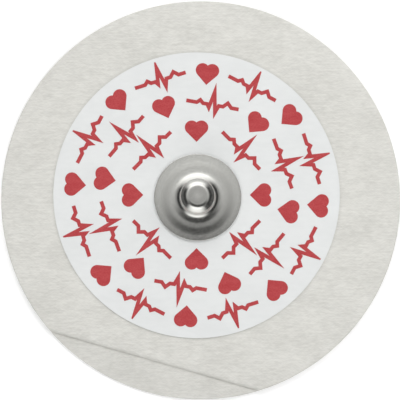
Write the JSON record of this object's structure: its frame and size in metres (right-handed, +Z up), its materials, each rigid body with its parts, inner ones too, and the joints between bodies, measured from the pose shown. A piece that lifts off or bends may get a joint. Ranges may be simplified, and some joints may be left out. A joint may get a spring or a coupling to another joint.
{
  "type": "ecg electrode",
  "caption": "Round adhesive cloth electrode with a film label, a pressed metal snap stud, a gel pad underneath and a lift tab at one edge.",
  "frame": {"origin": "centre of the cloth disc's outline, on the surface that the gel pad rests on", "axes": "+Z up along the snap stud, away from the skin; +Y away from the viewer of the picture; +X to the right"},
  "size_m": [0.045, 0.045, 0.0044],
  "materials": {
    "cloth": "matt nonwoven cloth tape",
    "tab": "matt nonwoven strip",
    "film": "satin film",
    "ink": "printed ink",
    "snap_metal": "satin pressed sheet",
    "sensor": "silver coating",
    "gel": "moist clear gel"
  },
  "bodies": {
    "root": {"backing": "cloth", "pull_tab": "tab", "label": "film", "label_print": "ink", "stud": "snap_metal", "eyelet": "sensor", "gel_pad": "gel"}
  },
  "joints": []
}
